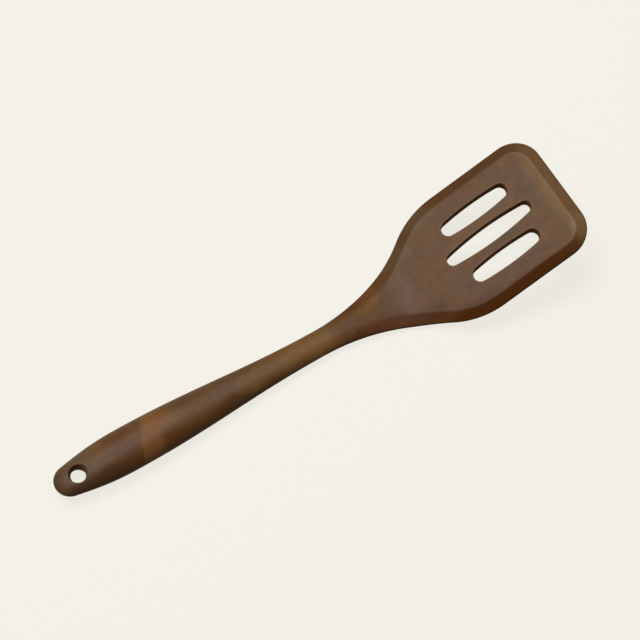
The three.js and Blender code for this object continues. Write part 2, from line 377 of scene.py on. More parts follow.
@dataclass(frozen=True)
class Rim:
    """The bevelled rim of the blade, thin at its edge, which meets the panel in a crease."""

    width: float = 0.0065
    edge: float = 0.002
    edge_round: float = 0.0007
    crease_round: float = 0.0005
    edge_steps: int = 4
    bevel_steps: int = 6
    crease_steps: int = 3

    def profile(self, crown: float) -> list[Vector]:
        """Samples the upper half of the rim's section.

        Args:
            crown: Height of the blade's panel above the mid-line.

        Returns:
            (depth, height) pairs from the seam to the panel.
        """
        land = self.edge / 2
        slope = math.atan2(crown - land, self.width)
        corner = Vector((self.edge_round, land - self.edge_round))
        turn = Arc(corner, self.edge_round, math.pi, QUARTER + slope)
        edge = [turn.at(share)[0] for share in spread(self.edge_steps)]
        foot = Vector((self.width - self.crease_round, crown - self.crease_round * math.tan(slope)))
        bevel = [edge[-1].lerp(foot, share) for share in spread(self.bevel_steps)[1:]]
        end = Vector((self.width + self.crease_round, crown))
        crease = [
            Vector((mix(foot.x, end.x, share), mix(foot.y, end.y, 1 - (1 - share) ** 2)))
            for share in spread(self.crease_steps)[1:]
        ]
        return [Vector((0.0, 0.0)), *edge, *bevel, *crease]


@dataclass(frozen=True)
class WallRing:
    """A ring of places on the wall of an opening, and how much of the wall's finish it has."""

    places: Sequence[Vector]
    walled: float


@dataclass(frozen=True)
class Slot:
    """A slot of the blade: round ends, and sides that are arcs touching the end rounds."""

    centre: Vector
    length: float
    width: float
    bow: float

    def outline(self, grown: float, steps: int) -> list[Vector]:
        """Samples the slot's outline, anticlockwise from above.

        Args:
            grown: How far the outline lies outside the slot's narrowest one.
            steps: How many steps each of its four arcs takes.

        Returns:
            The points, on the flat form's plan.
        """
        half = self.width / 2 + grown
        end = half - self.bow
        reach = self.length / 2 + grown - end
        side = (reach**2 + half**2 - end**2) / (2 * self.bow)
        lean = math.atan2(reach, side - half)
        arcs = (
            Arc(Vector((0.0, half - side)), side, QUARTER - lean, QUARTER + lean),
            Arc(Vector((-reach, 0.0)), end, QUARTER + lean, 3 * QUARTER - lean),
            Arc(Vector((0.0, side - half)), side, 3 * QUARTER - lean, 3 * QUARTER + lean),
            Arc(Vector((reach, 0.0)), end, 3 * QUARTER + lean, 5 * QUARTER - lean),
        )
        return [self.centre + arc.at(share)[0] for arc in arcs for share in spread(steps)[1:]]


@dataclass(frozen=True)
class SlotRow:
    """The blade's three slots, a longer one between two shorter ones."""

    width: float = 0.011
    pitch: float = 0.017
    middle_length: float = 0.058
    middle_bow: float = 0.0018
    middle_setback: float = 0.0506
    outer_length: float = 0.045
    outer_bow: float = 0.001
    outer_setback: float = 0.0497
    lip_round: float = 0.0006
    steps: int = 20
    lip_steps: int = 6

    def slots(self, front: float) -> list[Slot]:
        """Places the slots on the blade.

        Args:
            front: Station of the blade's front edge.

        Returns:
            The middle slot, and the one on either side of it.
        """
        middle = Vector((front - self.middle_setback, 0.0))
        made = [Slot(middle, self.middle_length, self.width, self.middle_bow)]
        for across in (-self.pitch, self.pitch):
            outer = Vector((front - self.outer_setback, across))
            made.append(Slot(outer, self.outer_length, self.width, self.outer_bow))
        return made

    def wall(self, slot: Slot, crown: float, band: float) -> list[WallRing]:
        """Samples the upper half of a slot's wall, its lip and a flat band round it.

        Args:
            slot: The slot.
            crown: Height of the blade's panel above the mid-line.
            band: Width of the flat band.

        Returns:
            The rings from the middle of the wall to the band's outside.
        """
        lip = self.lip_round
        profile = [(0.0, 0.0, 1.0)]
        for share in spread(self.lip_steps):
            angle = QUARTER * share
            grown = lip * (1 - math.cos(angle))
            profile.append((grown, crown - lip * (1 - math.sin(angle)), 1 - share))
        profile.append((lip + band, crown, 0.0))
        rings = []
        for grown, height, walled in profile:
            places = [Vector((*point, height)) for point in slot.outline(grown, self.steps)]
            rings.append(WallRing(places, walled))
        return rings


@dataclass(frozen=True)
class HangingEye:
    """The hanging eye in the tail, which opens out from a waist to a mouth in either face."""

    station: float = 0.0145
    waist: float = 0.0086
    mouth: float = 0.0118
    lip_round: float = 0.0007
    wall_share: float = 0.6
    wall_steps: int = 4
    lip_steps: int = 6

    @property
    def centre(self) -> Vector:
        """The eye's middle on the plan."""
        return Vector((self.station, 0.0))

    def wall(self, spokes: Sequence[Vector], tops: Sequence[float], crown: float) -> list[WallRing]:
        """Samples the upper half of the eye's wall and its lip.

        Args:
            spokes: Unit directions from the eye's middle.
            tops: Height of the upper face at the mouth, along each spoke.
            crown: Height of the upper face over the eye's middle.

        Returns:
            The rings from the waist to the mouth.
        """
        waist = self.waist / 2
        mouth = self.mouth / 2
        lip = self.lip_round
        draft = math.atan2(mouth - waist, crown)
        foot = mouth - lip * math.cos(draft)
        foot_drop = lip * (1 - math.sin(draft))
        profile = [(mix(waist, foot, share), share, foot_drop, 1.0) for share in spread(self.wall_steps)]
        for share in spread(self.lip_steps)[1:]:
            angle = mix(draft, QUARTER, share)
            drop = lip * (1 - math.sin(angle))
            profile.append((mouth - lip * math.cos(angle), 1.0, drop, 1 - share))
        rings = []
        for radius, lift, drop, walled in profile:
            plan = [self.centre + radius * spoke for spoke in spokes]
            places = [Vector((*point, lift * (top - drop))) for point, top in zip(plan, tops)]
            rings.append(WallRing(places, self.wall_share * walled))
        return rings


def linear(code: str) -> tuple[float, float, float, float]:
    """Returns the linear colour of an sRGB hex code."""
    srgb = Color([part / 255 for part in bytes.fromhex(code.removeprefix("#"))])
    return (*srgb.from_srgb_to_scene_linear(), 1.0)


class Socket:
    """An output of a shader node, which Python's operators treat as a number."""

    def __init__(self, graph: Graph, output: bpy.types.NodeSocket) -> None:
        """Wraps an output of one of the graph's nodes."""
        self.graph = graph
        self.output = output

    def math(self, operation: str, first: Value, second: Value) -> Socket:
        """Returns the result of a Math node on two values."""
        return self.graph.node("ShaderNodeMath", {"operation": operation}, {0: first, 1: second})

    def __add__(self, other: Value) -> Socket:
        """Returns this value plus another."""
        return self.math("ADD", self, other)

    def __radd__(self, other: Value) -> Socket:
        """Returns another value plus this one."""
        return self.math("ADD", other, self)

    def __sub__(self, other: Value) -> Socket:
        """Returns this value less another."""
        return self.math("SUBTRACT", self, other)

    def __rsub__(self, other: Value) -> Socket:
        """Returns another value less this one."""
        return self.math("SUBTRACT", other, self)

    def __mul__(self, other: Value) -> Socket:
        """Returns this value times another."""
        return self.math("MULTIPLY", self, other)

    def __rmul__(self, other: Value) -> Socket:
        """Returns another value times this one."""
        return self.math("MULTIPLY", other, self)


Value = Socket | float | Sequence[float]


class Graph:
    """The node tree of a material or of the world."""

    def __init__(self, owner: bpy.types.Material | bpy.types.World) -> None:
        """Empties a node tree and takes it over.

        Args:
            owner: The material or the world that has the tree.
        """
        owner.use_nodes = True
        self.tree = owner.node_tree
        self.tree.nodes.clear()

    def node(
        self,
        kind: str,
        settings: dict[str, object] | None = None,
        inputs: dict[int | str, Value] | None = None,
        output: int | str = 0,
    ) -> Socket | None:
        """Adds a node.

        Args:
            kind: The node's type.
            settings: The node's own settings.
            inputs: Values or links of its sockets, by name or number.
            output: The output to return, by name or number.

        Returns:
            The output, or None where the node has none.
        """
        made = self.tree.nodes.new(kind)
        for name, value in (settings or {}).items():
            setattr(made, name, value)
        for key, value in (inputs or {}).items():
            if isinstance(value, Socket):
                self.tree.links.new(value.output, made.inputs[key])
            else:
                made.inputs[key].default_value = value
        return Socket(self, made.outputs[output]) if made.outputs else None

    @cached_property
    def place(self) -> Socket:
        """Places on the piece."""
        return self.node("ShaderNodeTexCoord", output="Object")

    def axis(self, name: str) -> Socket:
        """Returns one axis of the places on the piece."""
        return self.node("ShaderNodeSeparateXYZ", {}, {0: self.place}, name)

    def attribute(self, layer: Layer) -> Socket:
        """Returns a number that the mesh keeps at each vertex."""
        return self.node("ShaderNodeAttribute", {"attribute_name": layer.value}, output="Fac")

    def vector(self, operation: str, first: Value, second: Value) -> Socket:
        """Returns the result of a Vector Math node on two vectors."""
        return self.node("ShaderNodeVectorMath", {"operation": operation}, {0: first, 1: second})

    def length(self, vector: Value) -> Socket:
        """Returns the length of a vector."""
        return self.node("ShaderNodeVectorMath", {"operation": "LENGTH"}, {0: vector}, "Value")

    def scaled(self, vector: Value, factor: Value) -> Socket:
        """Returns a vector or a colour times a number."""
        return self.node("ShaderNodeVectorMath", {"operation": "SCALE"}, {0: vector, "Scale": factor})

    def blend(self, share: Value, first: Value, second: Value) -> Socket:
        """Returns a colour that is the first at a share of 0 and the second at 1."""
        return self.node("ShaderNodeMix", {"data_type": "RGBA"}, {0: share, 6: first, 7: second}, 2)

    def noise(self, place: Socket, scale: float, detail: float = 2.0, output: str = "Fac") -> Socket:
        """Returns soft noise over places, at a scale in cycles per metre."""
        inputs = {"Vector": place, "Scale": scale, "Detail": detail}
        return self.node("ShaderNodeTexNoise", {}, inputs, output)

    def drawn_noise(self, place: Socket, scales: Sequence[float], detail: float = 2.0) -> Socket:
        """Returns noise that is drawn out, with a scale of its own along each axis."""
        return self.noise(self.vector("MULTIPLY", place, scales), 1.0, detail)

    def rise(self, value: Value, low: float, high: float, start: float = 0.0, end: float = 1.0) -> Socket:
        """Returns a value that runs smoothly from start at low to end at high."""
        inputs = {"Value": value, "From Min": low, "From Max": high, "To Min": start, "To Max": end}
        return self.node("ShaderNodeMapRange", {"interpolation_type": "SMOOTHSTEP"}, inputs)

    def bump(self, height: Socket, distance: float, strength: float) -> Socket:
        """Returns the normal of a surface that a height roughens."""
        return self.node("ShaderNodeBump", {}, {"Strength": strength, "Distance": distance, "Height": height})


class Tone(Enum):
    """Pigments of the marbled silicone and colours of its painted shade, sheen and highlights, as sRGB codes.
    """

    UMBER = "#5f3e19"
    TAUPE = "#523923"
    AMBER = "#714922"
    OLIVE = "#644720"
    MOSS = "#5f4b33"
    SAND = "#6c4d26"
    RUST = "#4a280d"
    CLAY = "#5a3222"
    BARK = "#4d361d"
    ASH = "#583f2c"
    SOOT = "#3c2612"
    DUN = "#7a6144"

    @property
    def colour(self) -> tuple[float, float, float, float]:
        """The pigment's linear colour."""
        return linear(self.value)


@dataclass(frozen=True)
class Patch:
    """An oval patch of one colour, which may start at a crisp line across the grip. Most patches are pigments
    of the marbling; some are painted shade or painted sheen.
    """

    tone: Tone
    centre: tuple[float, float]
    radii: tuple[float, float]
    strength: float
    softness: float = 0.4
    crisp: bool = False


@dataclass(frozen=True)
class MarbledSilicone:
    """Matte silicone with wood-tone pigments swirled into it, with painted shade, painted sheen and painted
    highlights on it.
    """

    roughness: float = 0.42
    roughness_play: float = 0.1
    specular_level: float = 0.12
    swirl: float = 0.008
    swirl_scale: float = 70.0
    ripple: float = 0.0022
    ripple_scale: float = 300.0
    streak_scales: tuple[float, float, float] = (30.0, 130.0, 130.0)
    streak_detail: float = 3.0
    streak_span: tuple[float, float] = (0.3, 0.7)
    fleck_scales: tuple[float, float, float] = (130.0, 380.0, 380.0)
    fleck_span: tuple[float, float] = (0.66, 0.76)
    fleck_strength: float = 0.5
    line_start: float = -0.1115
    line_slant: float = 0.45
    line_width: float = 0.001
    line_waver: float = 0.006
    rim_span: tuple[float, float] = (0.0, 0.12)
    rim_shade_strength: float = 0.4
    rim_matte: tuple[float, float] = (0.9, 0.4)
    rim_matte_across: tuple[float, float] = (-0.034, -0.022)
    crease_highlight_strength: float = 0.5
    crease_span: tuple[float, float, float] = (0.0, 0.02, 0.06)
    crease_from: tuple[float, float] = (0.148, 0.156)
    lip_highlight_strength: float = 0.5
    wall_matte: float = 0.85
    mottle_scale: float = 240.0
    mottle_detail: float = 4.0
    mottle_strength: float = 0.3
    grain_scale: float = 2600.0
    grain_height: float = 0.00004
    grain_strength: float = 0.35
    pigment_and_painted_light: tuple[Patch, ...] = (
        # Tail, belly and amber band, with painted shade on the tail tip and the -Y flank, and painted sheen
        # on the +Y flank
        # Painted shade: the tail tip darkened, as if the light fell off towards it
        Patch(Tone.BARK, (-0.158, 0.002), (0.015, 0.016), 0.8),
        # Painted sheen: the tail's +Y flank greyed
        Patch(Tone.MOSS, (-0.148, 0.0085), (0.014, 0.004), 0.6),
        Patch(Tone.RUST, (-0.124, 0.004), (0.008, 0.012), 0.35),
        # Painted shade: this patch and the next two darken the -Y flank
        Patch(Tone.RUST, (-0.118, -0.0125), (0.055, 0.0065), 0.85, 0.5),
        Patch(Tone.SOOT, (-0.148, -0.0105), (0.022, 0.0055), 0.75, 0.5),
        Patch(Tone.RUST, (-0.04, -0.0105), (0.045, 0.0045), 0.55, 0.5),
        Patch(Tone.SAND, (-0.092, 0.0015), (0.009, 0.004), 0.4),
        Patch(Tone.AMBER, (-0.105, 0.001), (0.011, 0.006), 0.75, 0.6, crisp=True),
        Patch(Tone.AMBER, (-0.1035, 0.008), (0.009, 0.005), 0.95, 0.6, crisp=True),
        Patch(Tone.AMBER, (-0.1095, -0.0075), (0.0085, 0.0065), 0.65, crisp=True),
        # Grip and neck, with painted shade on the -Y flank
        Patch(Tone.BARK, (-0.064, 0.0085), (0.022, 0.004), 0.45, 0.5),
        Patch(Tone.OLIVE, (-0.068, 0.006), (0.008, 0.003), 0.25),
        Patch(Tone.ASH, (-0.054, 0.001), (0.013, 0.005), 0.7),
        # Painted shade on the -Y flank
        Patch(Tone.SOOT, (-0.052, -0.0085), (0.012, 0.0035), 0.5),
        Patch(Tone.SAND, (-0.037, -0.001), (0.014, 0.006), 0.5),
        Patch(Tone.SAND, (-0.005, -0.001), (0.02, 0.01), 0.8),
        # Painted shade on the -Y flank
        Patch(Tone.RUST, (-0.018, -0.0085), (0.014, 0.0035), 0.5, 0.5),
        # Flare, heel and blade, with painted shade on the -Y side and painted sheen on the +Y shoulder rim
        # and the front rim
        Patch(Tone.AMBER, (0.0445, 0.009), (0.007, 0.006), 0.7),
        # Painted shade: the neck's -Y flank darkened
        Patch(Tone.CLAY, (0.038, -0.0105), (0.024, 0.0045), 0.6, 0.5),
        Patch(Tone.ASH, (0.0585, 0.002), (0.011, 0.011), 0.6),
        Patch(Tone.OLIVE, (0.117, 0.0085), (0.022, 0.005), 0.5),
        # Painted sheen: these two patches grey the +Y shoulder rim
        Patch(Tone.MOSS, (0.068, 0.0235), (0.012, 0.007), 0.9),
        Patch(Tone.MOSS, (0.088, 0.035), (0.013, 0.008), 0.9),
        # Painted shade: these three patches darken the -Y shoulder and rim
        Patch(Tone.RUST, (0.067, -0.0205), (0.014, 0.006), 0.85),
        Patch(Tone.RUST, (0.086, -0.036), (0.024, 0.0095), 1.0),
        Patch(Tone.RUST, (0.122, -0.039), (0.029, 0.006), 1.0, 0.5),
        # Painted sheen: the front rim lightened, and its -Y corner lighter still
        Patch(Tone.SAND, (0.164, -0.004), (0.009, 0.042), 1.0),
        Patch(Tone.DUN, (0.163, -0.0285), (0.007, 0.007), 0.85),
    )

    def stirred(self, graph: Graph) -> Socket:
        """Moves places by a broad swirl and a fine ripple.

        Args:
            graph: The material's graph.

        Returns:
            The moved places.
        """
        place = graph.place
        middle = (NOISE_MIDDLE, NOISE_MIDDLE, NOISE_MIDDLE)
        for reach, scale in ((self.swirl, self.swirl_scale), (self.ripple, self.ripple_scale)):
            drift = graph.vector("SUBTRACT", graph.noise(place, scale, output="Color"), middle)
            place = graph.vector("ADD", place, graph.scaled(drift, reach))
        return place

    def band(self, graph: Graph, mottle: Socket) -> Socket:
        """Makes the nodes of the crisp line across the grip.

        Args:
            graph: The material's graph.
            mottle: Fine noise, which makes the line waver.

        Returns:
            0 on the tail's side of the line and 1 past it.
        """
        along = graph.axis("X") - self.line_slant * graph.axis("Y")
        along = along + self.line_waver * (mottle - NOISE_MIDDLE)
        return graph.rise(along, self.line_start - self.line_width, self.line_start + self.line_width)

    def cover(self, graph: Graph, patch: Patch, stirred: Socket, band: Socket) -> Socket:
        """Makes the nodes of one patch.

        Args:
            graph: The material's graph.
            patch: The patch.
            stirred: Places moved by the marbling.
            band: 1 past the crisp line.

        Returns:
            How much of the patch's pigment there is at a place.
        """
        offset = graph.vector("SUBTRACT", stirred, (*patch.centre, 0.0))
        share = graph.vector("MULTIPLY", offset, (1 / patch.radii[0], 1 / patch.radii[1], 0.0))
        far = graph.length(share)
        cover = graph.rise(far, 1 - patch.softness, 1 + patch.softness, patch.strength, 0.0)
        return cover * band if patch.crisp else cover

    def marbled_with_painted_light(self, graph: Graph, mottle: Socket) -> Socket:
        """Makes the nodes of the swirled pigments, with patches of painted shade and painted sheen among
        them.

        Args:
            graph: The material's graph.
            mottle: Fine noise.

        Returns:
            The colour of the open faces.
        """
        stirred = self.stirred(graph)
        streak = graph.drawn_noise(stirred, self.streak_scales, self.streak_detail)
        streak = graph.rise(streak, *self.streak_span)
        colour = graph.blend(streak, Tone.UMBER.colour, Tone.TAUPE.colour)
        band = self.band(graph, mottle)
        for patch in self.pigment_and_painted_light:
            colour = graph.blend(self.cover(graph, patch, stirred, band), colour, patch.tone.colour)
        fleck = graph.drawn_noise(stirred, self.fleck_scales)
        fleck = graph.rise(fleck, *self.fleck_span, 0.0, self.fleck_strength)
        return graph.blend(fleck, colour, Tone.SOOT.colour)

    def bevel(self, graph: Graph) -> Socket:
        """Returns 1 on the blade's bevelled rim and 0 off it."""
        return graph.rise(graph.attribute(Layer.RIM), *self.rim_span)

    def painted_highlights(self, graph: Graph) -> Socket:
        """Makes the nodes of the painted highlights along the front rim's crease and the slots' lips.

        Args:
            graph: The material's graph.

        Returns:
            How strong the painted highlight is at a place.
        """
        low, middle, high = self.crease_span
        rim = graph.attribute(Layer.RIM)
        line = graph.rise(rim, low, middle) * graph.rise(rim, middle, high, 1.0, 0.0)
        crease = self.crease_highlight_strength * line * graph.rise(graph.axis("X"), *self.crease_from)
        return crease + self.lip_highlight_strength * graph.attribute(Layer.LIP)

    def colour(self, graph: Graph, mottle: Socket) -> Socket:
        """Makes the nodes of the whole finish's colour, with its painted shade and painted highlights.

        Args:
            graph: The material's graph.
            mottle: Fine noise.

        Returns:
            The colour.
        """
        colour = self.marbled_with_painted_light(graph, mottle)
        # Painted shade: the bevelled rim darkened towards rust, where it catches less light than the panel
        colour = graph.blend(self.rim_shade_strength * self.bevel(graph), colour, Tone.RUST.colour)
        # Painted highlights along the front rim's crease and the slots' lips
        colour = graph.blend(self.painted_highlights(graph), colour, Tone.DUN.colour)
        colour = graph.blend(graph.attribute(Layer.WALL), colour, Tone.AMBER.colour)
        return graph.scaled(colour, 1 - self.mottle_strength * (mottle - NOISE_MIDDLE))

    def dullness(self, graph: Graph) -> Socket:
        """Returns how dull a place is: the walls and the rim's -Y side most, then the rest of the rim."""
        matte = graph.rise(graph.axis("Y"), *self.rim_matte_across, *self.rim_matte)
        return matte * self.bevel(graph) + self.wall_matte * graph.attribute(Layer.WALL)

    def material(self) -> bpy.types.Material:
        """Makes the finish as a material.

        Returns:
            The material.
        """
        made = bpy.data.materials.new("marbled_silicone")
        graph = Graph(made)
        mottle = graph.noise(graph.place, self.mottle_scale, self.mottle_detail)
        grain = graph.noise(graph.place, self.grain_scale)
        inputs = {
            "Base Color": self.colour(graph, mottle),
            "Roughness": self.roughness + self.roughness_play * (mottle - NOISE_MIDDLE),
            "Normal": graph.bump(grain, self.grain_height, self.grain_strength),
        }
        sheen, dull = (
            graph.node("ShaderNodeBsdfPrincipled", {}, {**inputs, "Specular IOR Level": level})
            for level in (self.specular_level, 0.0)
        )
        mixed = {0: self.dullness(graph), 1: sheen, 2: dull}
        surface = graph.node("ShaderNodeMixShader", {}, mixed)
        graph.node("ShaderNodeOutputMaterial", {}, {"Surface": surface})
        return made


@dataclass(frozen=True)
class SatinNylon:
    """Dark glass-filled nylon with a satin moulded face."""

    tone: str = "#2b221c"
    fleck_tone: str = "#3d3129"
    roughness: float = 0.45
    roughness_play: float = 0.2
    fleck_scale: float = 1800.0
    fleck_detail: float = 3.0
    fleck_span: tuple[float, float] = (0.5, 0.7)
    fleck_height: float = 0.00004
    fleck_strength: float = 0.3

    def material(self) -> bpy.types.Material:
        """Makes the finish as a material.

        Returns:
            The material.
        """
        made = bpy.data.materials.new("satin_nylon")
        graph = Graph(made)
        fleck = graph.noise(graph.place, self.fleck_scale, self.fleck_detail)
        share = graph.rise(fleck, *self.fleck_span)
        inputs = {
            "Base Color": graph.blend(share, linear(self.tone), linear(self.fleck_tone)),
            "Roughness": self.roughness + self.roughness_play * (fleck - NOISE_MIDDLE),
            "Normal": graph.bump(fleck, self.fleck_height, self.fleck_strength),
        }
        surface = graph.node("ShaderNodeBsdfPrincipled", {}, inputs)
        graph.node("ShaderNodeOutputMaterial", {}, {"Surface": surface})
        return made


def ring(bm: BMesh, places: Sequence[Vector]) -> list[BMVert]:
    """Makes a closed ring of edges.

    Args:
        bm: The mesh.
        places: The places that the ring goes through.

    Returns:
        The ring's vertices, in the order of the places.
    """
    made = bmesh.ops.create_circle(bm, cap_ends=False, segments=len(places), radius=1.0)["verts"]
    verts = sorted(made, key=lambda vert: math.atan2(vert.co.y, vert.co.x))
    for vert, place in zip(verts, places):
        vert.co = place
    return verts


def edges_along(bm: BMesh, chain: Sequence[BMVert], closed: bool) -> list[BMEdge]:
    """Returns the edges that join a chain's vertices in order, and the last to the first if it is closed."""
    after = [*chain[1:], *chain[:1]] if closed else chain[1:]
    return [bm.edges.get(pair) for pair in zip(chain, after)]


def pulled(bm: BMesh, chain: Sequence[BMVert], places: Sequence[Vector], closed: bool) -> list[BMVert]:
    """Extrudes a chain of edges into a strip of faces.

    Args:
        bm: The mesh.
        chain: Vertices of the chain, in order.
        places: Where the extruded copy of each vertex goes.
        closed: Whether the chain is a ring.

    Returns:
        The extruded vertices, in the chain's order.
    """
    made = bmesh.ops.extrude_edge_only(bm, edges=edges_along(bm, chain, closed))["geom"]
    fresh = {item for item in made if isinstance(item, BMVert)}
    copies = []
    for vert, place in zip(chain, places):
        others = [edge.other_vert(vert) for edge in vert.link_edges]
        copy = next(other for other in others if other in fresh)
        copy.co = place
        copies.append(copy)
    return copies


def mark(bm: BMesh, verts: Iterable[BMVert], layer: Layer, value: float) -> None:
    """Writes a value to a layer of the given vertices.

    Args:
        bm: The mesh.
        verts: The vertices.
        layer: The layer.
        value: The value.
    """
    kept = bm.verts.layers.float[layer.value]
    for vert in verts:
        vert[kept] = value


def make_wall(bm: BMesh, rings: Sequence[WallRing]) -> list[list[BMVert]]:
    """Makes the wall of an opening out of rings.

    Args:
        bm: The mesh.
        rings: The rings, in order.

    Returns:
        The vertices of each ring, in the same order.
    """
    made: list[list[BMVert]] = []
    for wall_ring in rings:
        places = wall_ring.places
        made.append(pulled(bm, made[-1], places, closed=True) if made else ring(bm, places))
        mark(bm, made[-1], Layer.WALL, wall_ring.walled)
    return made


def placed(bm: BMesh, name: str) -> bpy.types.Object:
    """Makes a finished mesh an object of the scene.

    Args:
        bm: The mesh, which is freed.
        name: The object's name.

    Returns:
        The object, at the origin.
    """
    mesh = bpy.data.meshes.new(name)
    bm.to_mesh(mesh)
    bm.free()
    made = bpy.data.objects.new(name, mesh)
    bpy.context.scene.collection.objects.link(made)
    return made


def dressed(piece: bpy.types.Object, solid: Solid, finish: bpy.types.Material) -> None:
    """Gives a piece its finish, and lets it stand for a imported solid.

    Args:
        piece: The piece's object.
        solid: The solid that it stands for.
        finish: Its material.
    """
    piece.data.materials.append(finish)
    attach(piece, BODY)
    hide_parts(solid.value)
    LOG.info("%s: %d faces", piece.name, len(piece.data.polygons))


@dataclass
class SiliconeSkin:
    """The moulded silicone skin: blade with its rim and slots, shoulders, neck, grip and hanging eye."""

    plan: Plan = Plan()
    side: SideView = SideView()
    rim: Rim = Rim()
    slot_row: SlotRow = SlotRow()
    eye: HangingEye = HangingEye()
    finish: MarbledSilicone = MarbledSilicone()

    crown_share: float = 0.12
    section_powers: tuple[float, float] = (2.0, 1.8)
    flat_band: float = 0.0006
    tail_end: float = 0.6

    tail_steps: int = 22
    side_steps: int = 14
    grip_steps: int = 50
    flare_steps: int = 36
    blade_steps: tuple[int, ...] = (16, 16, 18, 14)
    crown_steps: int = 8
    eye_rings: int = 12
    settle_turns: int = 6

    # Where the flat form goes as it is laid down, known once the skin is built
    pose: Matrix = field(default_factory=Matrix, init=False)

    def blade_share(self, station: float) -> float:
        """Returns 0 along the grip, 1 on the blade's panel and a smooth run between them."""
        return ease(station, self.plan.grip_length, self.side.panel_start(self.plan))

    def rim_share(self, place: Vector) -> float:
        """Returns how far down the blade's rim a place lies, from 0 on the panel to 1 at the edge."""
        crown = self.side.crown(self.plan, place.x)
        return self.blade_share(place.x) * (1 - abs(place.z) / crown)

    def section(self, outward: float) -> float:
        """Returns the grip's height as a share of its crown, from 1 in the middle to 0 at its side."""
        inner, outer = self.section_powers
        return (1 - outward**inner) ** (1 / outer)

    def border(self, edge: EdgePoint) -> list[Vector]:
        """Places vertices across the border at one point of the outline.

        Args:
            edge: The point of the outline.

        Returns:
            The places from the seam to the crown, and one more on the crown.
        """
        profile = self.rim.profile(self.side.panel_crown)
        share = self.blade_share(edge.point.x)
        places = []
        for step, (rim_depth, rim_height) in enumerate(profile):
            angle = QUARTER * step / (len(profile) - 1)
            depth = rim_depth
            if share < 1:
                reach = abs(edge.point.y / edge.inward.y)
                round_depth = (1 - self.crown_share) * reach * (1 - math.cos(angle))
                depth = mix(round_depth, rim_depth, share)
            point = edge.point + edge.inward * depth
            rise = mix(self.section(math.cos(angle)), rim_height / self.side.panel_crown, share)
            places.append(Vector((*point, rise * self.side.crown(self.plan, point.x))))
        flat = places[-1].xy + edge.inward * self.flat_band
        places.append(Vector((*flat, self.side.crown(self.plan, flat.x))))
        return places

    def row(self, edge: EdgePoint) -> list[Vector]:
        """Places vertices in a row right across the form.

        Args:
            edge: The point of the outline on the +Y side.

        Returns:
            The places from the -Y side to the +Y side.
        """
        near = self.border(edge.mirrored())
        far = self.border(edge)[::-1]
        crown = [near[-1].lerp(far[0], share) for share in spread(self.crown_steps)[1:-1]]
        return [*near, *crown, *far]

    def tail_height(self, place: Vector, outline: Vector) -> float:
        """Finds the height of the upper face near the hanging eye.

        Args:
            place: A place on the plan.
            outline: The outline's point on the ray from the eye through the place.

        Returns:
            The height above the mid-line.
        """
        eye = self.eye.centre
        if place.x < eye.x:
            outward = (place - eye).length / (outline - eye).length
        else:
            outward = abs(place.y) / self.plan.grip()[0].value_at(place.x)
        border = min(1.0, max(0.0, (outward - self.crown_share) / (1 - self.crown_share)))
        return self.side.crown(self.plan, place.x) * self.section(border)

    def make_tail(self, bm: BMesh) -> list[BMVert]:
        """Makes the hanging eye and the tail round it.

        Args:
            bm: The mesh to add to.

        Returns:
            The row of vertices right across the grip where the tail ends, from -Y to +Y.
        """
        belly = PartOf(self.plan.grip()[0], 0.0, self.tail_end)
        edges = traced((self.plan.tail(), belly), (self.tail_steps, self.side_steps))
        row = self.row(edges[-1])
        seam = [Vector((*edge.point, 0.0)) for edge in edges[-2::-1]]
        seam += [Vector((*edge.mirrored().point, 0.0)) for edge in edges[1:-1]]
        outer = [row[-1], *seam, *row[:-1]]
        first = math.pi * len(row) / len(outer)
        angles = [first + 2 * math.pi * i / len(outer) for i in range(len(outer))]
        spokes = [Vector((math.cos(angle), math.sin(angle))) for angle in angles]
        starts = [self.eye.centre + self.eye.mouth / 2 * spoke for spoke in spokes]
        tops = [self.tail_height(start, end.xy) for start, end in zip(starts, outer)]
        crown = self.side.crown(self.plan, self.eye.station)
        chain = make_wall(bm, self.eye.wall(spokes, tops, crown))[-1]
        for share in spread(self.eye_rings)[1:-1]:
            along = math.sin(QUARTER * share)
            places = []
            for start, end in zip(starts, outer):
                point = start.lerp(end.xy, along)
                places.append(Vector((*point, self.tail_height(point, end.xy))))
            chain = pulled(bm, chain, places, closed=True)
        chain = pulled(bm, chain, outer, closed=True)
        return [*chain[len(seam) + 1 :], chain[0]]

    def make_grip(self, bm: BMesh, row: list[BMVert]) -> list[BMVert]:
        """Makes the grip, the neck and the flare.

        Args:
            bm: The mesh to add to.
            row: The row of vertices where the tail ends.

        Returns:
            The row of vertices where the flare meets the blade.
        """
        belly, neck = self.plan.grip()
        stretches = (PartOf(belly, self.tail_end, 1.0), neck, self.plan.flare())
        for edge in traced(stretches, (self.side_steps, self.grip_steps, self.flare_steps))[1:]:
            row = pulled(bm, row, self.row(edge), closed=False)
        return row

    def make_rim(self, bm: BMesh, row: list[BMVert]) -> list[BMVert]:
        """Makes the blade's rim, from the +Y side round the front to the -Y side.

        Args:
            bm: The mesh to add to.
            row: The row of vertices where the flare meets the blade.

        Returns:
            The vertices along the rim's inner edge.
        """
        half = traced(self.plan.blade_half(), self.blade_steps)
        edges = [*half, *(edge.mirrored() for edge in half[-2::-1])]
        width = len(self.border(edges[0]))
        chain = row[::-1][:width]
        inner = [chain[-1]]
        for edge in edges[1:]:
            chain = pulled(bm, chain, self.border(edge), closed=False)
            inner.append(chain[-1])
        bmesh.ops.weld_verts(bm, targetmap=dict(zip(chain, row)))
        return [*inner[:-1], row[width - 1]]

